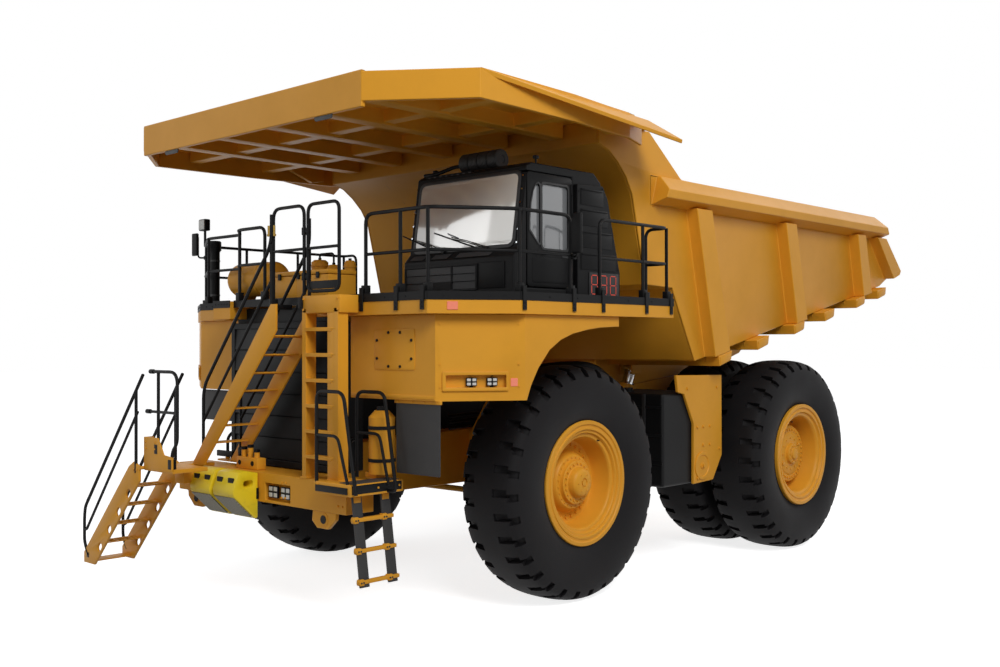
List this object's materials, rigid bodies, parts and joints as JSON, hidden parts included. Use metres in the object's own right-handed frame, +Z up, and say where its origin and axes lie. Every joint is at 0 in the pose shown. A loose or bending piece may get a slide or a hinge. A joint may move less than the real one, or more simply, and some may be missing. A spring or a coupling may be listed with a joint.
{
  "type": "rigid mining dump truck",
  "caption": "Heavy rigid-frame mining dump truck with a tipping body and cab canopy, raised deck with handrails and cab, folding boarding stair, steered front wheels and twin rear wheels.",
  "frame": {"origin": "centre of the truck footprint box, on the ground under the tyres", "axes": "+Z up; the truck faces -Y, so +Y runs from its bumper to its tail; +X is its left side, where the cab is"},
  "size_m": [7.2, 13.43, 6.28],
  "materials": {
    "body_yellow": "gloss",
    "black_paint": "satin",
    "tyre_rubber": "matte",
    "rod_chrome": "polished",
    "window_glass": "clear",
    "seat_fabric": "matte",
    "cab_plastic": "matte",
    "chock_yellow": "gloss"
  },
  "bodies": {
    "chassis": {"main_frame": "body_yellow", "rear_axle": "body_yellow", "engine_block": "black_paint", "front_bumper": "body_yellow", "radiator_guard": "black_paint", "left_fender": "body_yellow", "right_fender": "body_yellow", "left_deck": "body_yellow", "right_deck": "body_yellow", "left_front_handrail": "black_paint", "left_rear_handrail": "black_paint", "right_handrail": "black_paint", "left_mirror": "black_paint", "right_mirror": "black_paint", "cab_shell": "black_paint", "windshield": "window_glass", "operator_seat": "seat_fabric", "steering_console": "cab_plastic", "cab_cabinet": "black_paint", "roof_drum": "black_paint", "battery_box": "body_yellow", "air_tank": "body_yellow", "intake_post": "black_paint", "access_stair": "body_yellow", "access_ladder": "body_yellow", "step_platform": "body_yellow", "hanging_steps": "black_paint", "stair_hoop": "black_paint", "wheel_chocks": "chock_yellow", "fuel_tank": "black_paint", "tank_guard": "body_yellow", "hydraulic_tank": "body_yellow"},
    "dump_body": {"body_floor": "body_yellow", "body_front_wall": "body_yellow", "body_canopy": "body_yellow", "body_left_side": "body_yellow", "body_right_side": "body_yellow"},
    "left_knuckle": {"left_knuckle": "body_yellow"},
    "right_knuckle": {"right_knuckle": "body_yellow"},
    "track_rod": {"track_rod": "body_yellow"},
    "front_left_wheel": {"front_left_tyre": "tyre_rubber", "front_left_rim": "body_yellow"},
    "front_right_wheel": {"front_right_tyre": "tyre_rubber", "front_right_rim": "body_yellow"},
    "rear_left_wheels": {"rear_left_outer_tyre": "tyre_rubber", "rear_left_inner_tyre": "tyre_rubber", "rear_left_rims": "body_yellow"},
    "rear_right_wheels": {"rear_right_outer_tyre": "tyre_rubber", "rear_right_inner_tyre": "tyre_rubber", "rear_right_rims": "body_yellow"},
    "boarding_stair": {"boarding_stair": "body_yellow"},
    "cab_door": {"cab_door": "black_paint", "door_window": "window_glass"},
    "ladder_gate": {"ladder_gate": "black_paint"},
    "left_hoist_barrel": {"left_hoist_barrel": "body_yellow"},
    "left_hoist_stage": {"left_hoist_stage": "rod_chrome"},
    "left_hoist_rod": {"left_hoist_rod": "rod_chrome"},
    "right_hoist_barrel": {"right_hoist_barrel": "body_yellow"},
    "right_hoist_stage": {"right_hoist_stage": "rod_chrome"},
    "right_hoist_rod": {"right_hoist_rod": "rod_chrome"}
  },
  "joints": [
    {"name": "body_dump", "type": "hinge", "parent": "chassis", "child": "dump_body", "pos_m": [0, 3.695, 2.7], "axis": [-1, 0, 0], "range_deg": [0, 45]},
    {"name": "left_steering", "type": "hinge", "parent": "chassis", "child": "left_knuckle", "pos_m": [1.6, -2.725, 1.5], "axis": [0, 0, 1], "range_deg": [-36, 36]},
    {"name": "right_steering", "type": "hinge", "parent": "chassis", "child": "right_knuckle", "pos_m": [-1.6, -2.725, 1.5], "axis": [0, 0, 1], "range_deg": [-36, 36]},
    {"name": "track_rod_shift", "type": "slide", "parent": "chassis", "child": "track_rod", "axis": [1, 0, 0], "range_m": [-0.33, 0.33]},
    {"name": "front_left_wheel_spin", "type": "hinge", "parent": "left_knuckle", "child": "front_left_wheel", "pos_m": [2.425, -2.725, 1.5], "axis": [1, 0, 0], "continuous": true},
    {"name": "front_right_wheel_spin", "type": "hinge", "parent": "right_knuckle", "child": "front_right_wheel", "pos_m": [-2.425, -2.725, 1.5], "axis": [1, 0, 0], "continuous": true},
    {"name": "rear_left_wheels_spin", "type": "hinge", "parent": "chassis", "child": "rear_left_wheels", "pos_m": [2.1425, 2.455, 1.5], "axis": [1, 0, 0], "continuous": true},
    {"name": "rear_right_wheels_spin", "type": "hinge", "parent": "chassis", "child": "rear_right_wheels", "pos_m": [-2.1425, 2.455, 1.5], "axis": [1, 0, 0], "continuous": true},
    {"name": "boarding_stair_fold", "type": "hinge", "parent": "chassis", "child": "boarding_stair", "pos_m": [-1.15, -6.415, 1.75], "axis": [0, 1, 0], "range_deg": [0, 90]},
    {"name": "cab_door_swing", "type": "hinge", "parent": "chassis", "child": "cab_door", "pos_m": [2.8, -2.978, 4.66], "axis": [0, 0, 1], "range_deg": [0, 65]},
    {"name": "ladder_gate_swing", "type": "hinge", "parent": "chassis", "child": "ladder_gate", "pos_m": [1.04, -5.755, 4.4], "axis": [0, 0, 1], "range_deg": [0, 90]},
    {"name": "left_hoist_tilt", "type": "hinge", "parent": "chassis", "child": "left_hoist_barrel", "pos_m": [1.075, 0.025, 1.25], "axis": [-1, 0, 0], "range_deg": [0, 3.45]},
    {"name": "left_hoist_stage_slide", "type": "slide", "parent": "left_hoist_barrel", "child": "left_hoist_stage", "axis": [0, 0.3436, 0.9391], "range_m": [0, 1.176]},
    {"name": "left_hoist_rod_slide", "type": "slide", "parent": "left_hoist_stage", "child": "left_hoist_rod", "axis": [0, 0.3436, 0.9391], "range_m": [0, 1.176]},
    {"name": "right_hoist_tilt", "type": "hinge", "parent": "chassis", "child": "right_hoist_barrel", "pos_m": [-1.075, 0.025, 1.25], "axis": [-1, 0, 0], "range_deg": [0, 3.45]},
    {"name": "right_hoist_stage_slide", "type": "slide", "parent": "right_hoist_barrel", "child": "right_hoist_stage", "axis": [0, 0.3436, 0.9391], "range_m": [0, 1.176]},
    {"name": "right_hoist_rod_slide", "type": "slide", "parent": "right_hoist_stage", "child": "right_hoist_rod", "axis": [0, 0.3436, 0.9391], "range_m": [0, 1.176]}
  ],
  "couplings": [
    {"joint": "right_steering", "follows": "left_steering", "ratio": 1},
    {"joint": "track_rod_shift", "follows": "left_steering", "m_per_rad": -0.5239},
    {"joint": "left_hoist_tilt", "follows": "body_dump", "ratio": 0.0758},
    {"joint": "left_hoist_stage_slide", "follows": "body_dump", "m_per_rad": 1.4953},
    {"joint": "left_hoist_rod_slide", "follows": "body_dump", "m_per_rad": 1.4953},
    {"joint": "right_hoist_tilt", "follows": "body_dump", "ratio": 0.0758},
    {"joint": "right_hoist_stage_slide", "follows": "body_dump", "m_per_rad": 1.4953},
    {"joint": "right_hoist_rod_slide", "follows": "body_dump", "m_per_rad": 1.4953}
  ]
}
